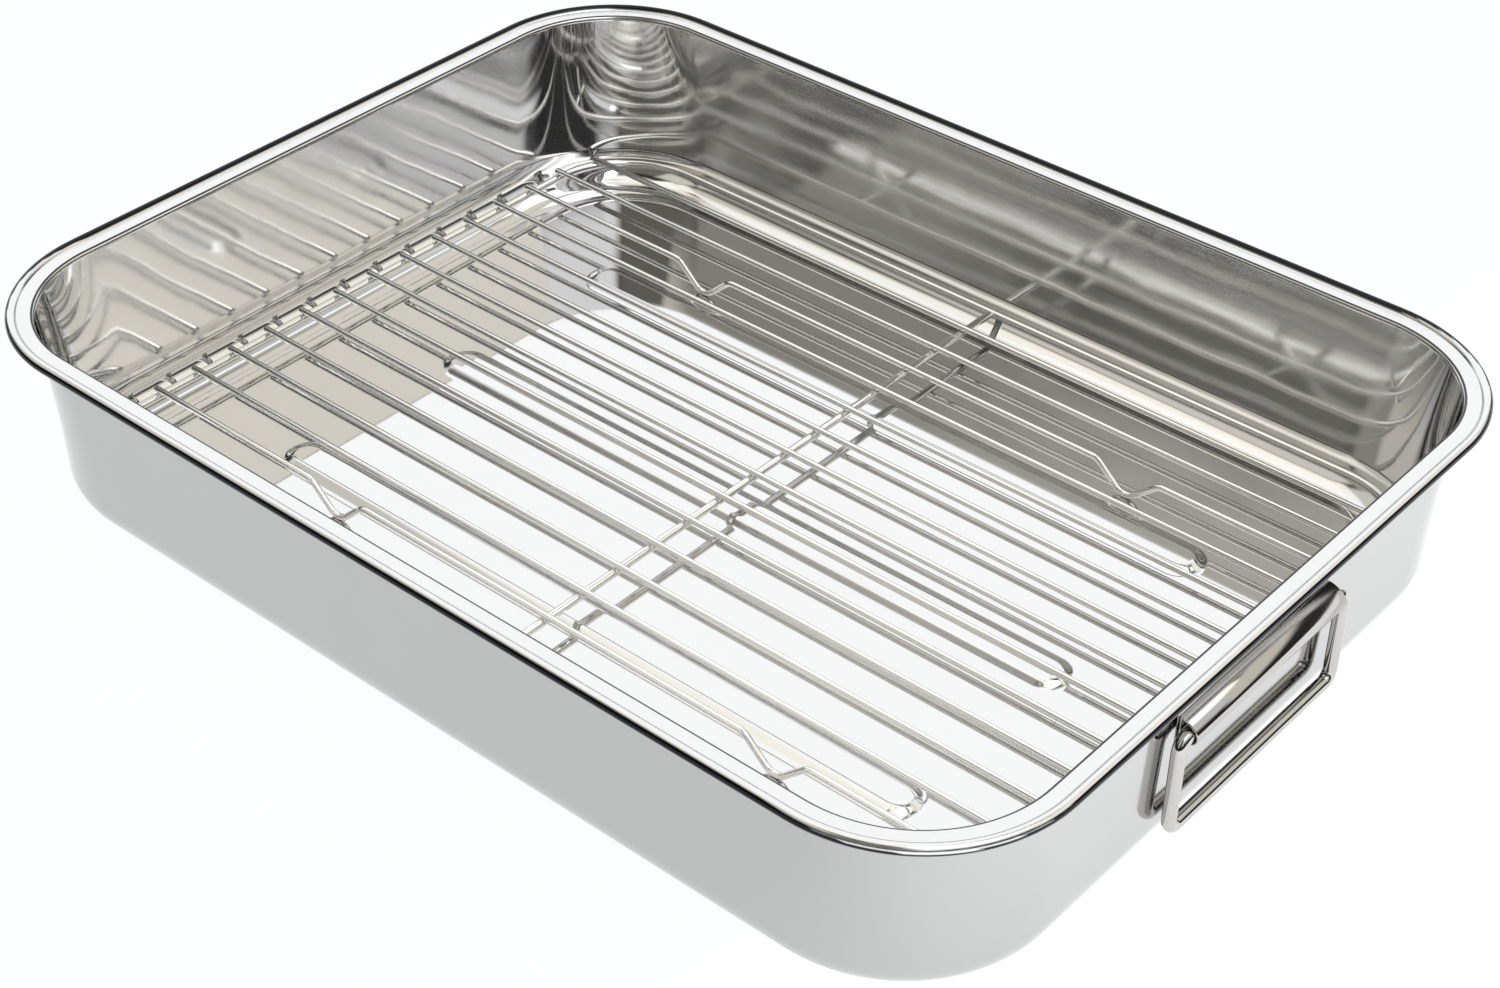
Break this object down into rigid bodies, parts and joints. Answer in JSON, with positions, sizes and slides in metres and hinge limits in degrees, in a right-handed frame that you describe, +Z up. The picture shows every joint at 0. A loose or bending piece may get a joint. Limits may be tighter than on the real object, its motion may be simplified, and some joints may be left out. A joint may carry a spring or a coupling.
{
  "type": "roasting pan with rack",
  "caption": "Rectangular polished steel roasting pan with rounded corners, flat rolled rim, ribbed floor, drop handles in end straps and a lift-out wire rack on bent feet.",
  "frame": {"origin": "middle of the pan's underside, on the surface that it stands on", "axes": "+X along the pan's length towards the handle that the picture shows, +Y across the pan, +Z up"},
  "size_m": [0.4, 0.308, 0.068],
  "materials": {
    "pan_steel": "mirror-polished stainless steel sheet",
    "strap_steel": "polished stainless steel strip",
    "handle_steel": "polished stainless steel rod",
    "rack_wire": "bright polished wire"
  },
  "bodies": {
    "pan": {"pan": "pan_steel", "handle_strap_right": "strap_steel", "handle_strap_left": "strap_steel"},
    "right_handle": {"handle_right": "handle_steel"},
    "left_handle": {"handle_left": "handle_steel"},
    "rack": {"rack_frame": "rack_wire", "rack_cross_wire": "rack_wire", "rack_wire_01": "rack_wire", "rack_wire_02": "rack_wire", "rack_foot_wire_front": "rack_wire", "rack_wire_04": "rack_wire", "rack_wire_05": "rack_wire", "rack_wire_06": "rack_wire", "rack_wire_07": "rack_wire", "rack_wire_08": "rack_wire", "rack_wire_09": "rack_wire", "rack_wire_10": "rack_wire", "rack_wire_11": "rack_wire", "rack_wire_12": "rack_wire", "rack_wire_13": "rack_wire", "rack_foot_wire_back": "rack_wire", "rack_wire_15": "rack_wire", "rack_wire_16": "rack_wire"}
  },
  "joints": [
    {"name": "right_handle_swing", "type": "hinge", "parent": "pan", "child": "right_handle", "pos_m": [0.19479, 0, 0.044], "axis": [0, -1, 0], "range_deg": [0, 150]},
    {"name": "left_handle_swing", "type": "hinge", "parent": "pan", "child": "left_handle", "pos_m": [-0.19479, 0, 0.044], "axis": [0, 1, 0], "range_deg": [0, 150]},
    {"name": "rack_lift", "type": "slide", "parent": "pan", "child": "rack", "axis": [0, 0, 1], "range_m": [0, 0.08]}
  ]
}
